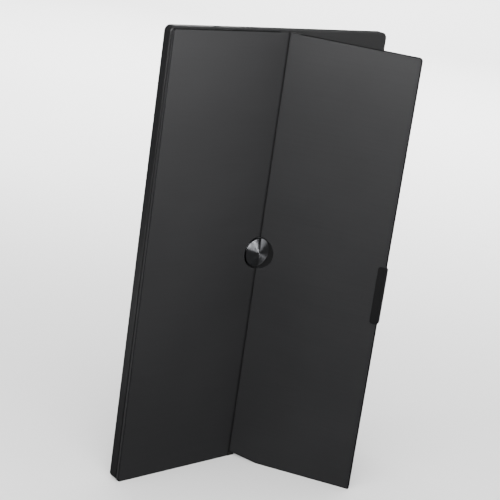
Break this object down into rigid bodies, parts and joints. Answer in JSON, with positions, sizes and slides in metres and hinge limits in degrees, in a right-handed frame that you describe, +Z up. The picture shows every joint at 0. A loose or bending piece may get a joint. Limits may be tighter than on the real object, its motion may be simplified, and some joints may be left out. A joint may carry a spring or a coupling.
{
  "type": "portable monitor with cover",
  "caption": "Slim portable screen standing upright on its short edge, with a cover on its back whose free half folds out on a vertical fold as the supporting leg, and a metal hub at the fold.",
  "frame": {"origin": "middle of the monitor's bottom face, on the surface that it stands on", "axes": "+X across the monitor's short side towards the flap's half, +Y towards the screen's viewer, +Z up along the long side"},
  "size_m": [0.2354, 0.1118, 0.3824],
  "materials": {
    "housing_plastic": "charcoal moulded plastic, fine satin texture",
    "bezel_plastic": "near-black moulded plastic, fine satin texture",
    "screen_glass": "dark screen glass behind an anti-glare polariser",
    "optical_film": "white translucent film",
    "guide_acrylic": "clear acrylic sheet",
    "panel_plastic": "off-white moulded plastic",
    "panel_steel": "thin plated steel sheet",
    "foam": "black closed-cell foam",
    "diode_strip": "white strip with pale yellow diodes",
    "circuit_board": "green solder mask",
    "flex_film": "amber flexible circuit film",
    "flat_cable": "white flat cable",
    "tin_plate": "tin-plated steel sheet",
    "screw_steel": "plain steel",
    "socket_steel": "black nickel-plated steel",
    "contact_plastic": "black moulded insulator",
    "button_plastic": "dark grey moulded plastic",
    "lens_plastic": "clear moulded plastic",
    "hub_aluminium": "spun aluminium with fine turning marks",
    "magnet_nickel": "nickel-plated magnet",
    "cover_skin": "charcoal coated cloth, satin with very fine cross streaks",
    "cover_board": "dark stiff board with a smooth edge",
    "cover_lining": "dark grey suede-like lining",
    "hinge_rubber": "black flexible plastic, satin",
    "foot_rubber": "black rubber",
    "grip_rubber": "dark matt rubber"
  },
  "bodies": {
    "monitor": {"rear_housing": "housing_plastic", "front_bezel": "bezel_plastic", "screen_gasket": "foam", "lcd_cell": "screen_glass", "film_stack": "optical_film", "light_guide": "guide_acrylic", "reflector_sheet": "optical_film", "panel_frame": "panel_plastic", "panel_tray": "panel_steel", "panel_tapes": "foam", "backlight_bar": "diode_strip", "driver_board": "circuit_board", "driver_flexes": "flex_film", "main_board": "circuit_board", "shield_can": "tin_plate", "board_screws": "screw_steel", "usb_shell": "socket_steel", "usb_tongue": "contact_plastic", "lock_plate": "socket_steel", "panel_cable": "flat_cable", "button_board": "circuit_board", "button_switches": "tin_plate", "button_cable": "flat_cable", "power_light": "lens_plastic", "light_lens": "lens_plastic", "hub_disc": "hub_aluminium", "hub_washer": "screw_steel", "catch_plates": "panel_steel", "fixed_skin": "cover_skin", "fixed_board": "cover_board", "fixed_lining": "cover_lining", "fixed_magnets": "magnet_nickel", "hinge_strip": "hinge_rubber", "spine_foot": "foot_rubber"},
    "flap": {"flap_skin": "cover_skin", "flap_board": "cover_board", "flap_lining": "cover_lining", "flap_magnets": "magnet_nickel", "hinge_leaf": "hinge_rubber", "edge_grip": "grip_rubber"},
    "power_button": {"power_button": "button_plastic"},
    "brightness_button": {"brightness_button": "button_plastic"}
  },
  "joints": [
    {"name": "flap_hinge", "type": "hinge", "parent": "monitor", "child": "flap", "pos_m": [0, -0.00785, 0.19], "axis": [0, 0, -1], "range_deg": [-60, 105]},
    {"name": "power_press", "type": "slide", "parent": "monitor", "child": "power_button", "axis": [0, -1, 0], "range_m": [0, 0.0004], "stiffness_N_per_m": 600},
    {"name": "brightness_press", "type": "slide", "parent": "monitor", "child": "brightness_button", "axis": [0, -1, 0], "range_m": [0, 0.0004], "stiffness_N_per_m": 600}
  ]
}
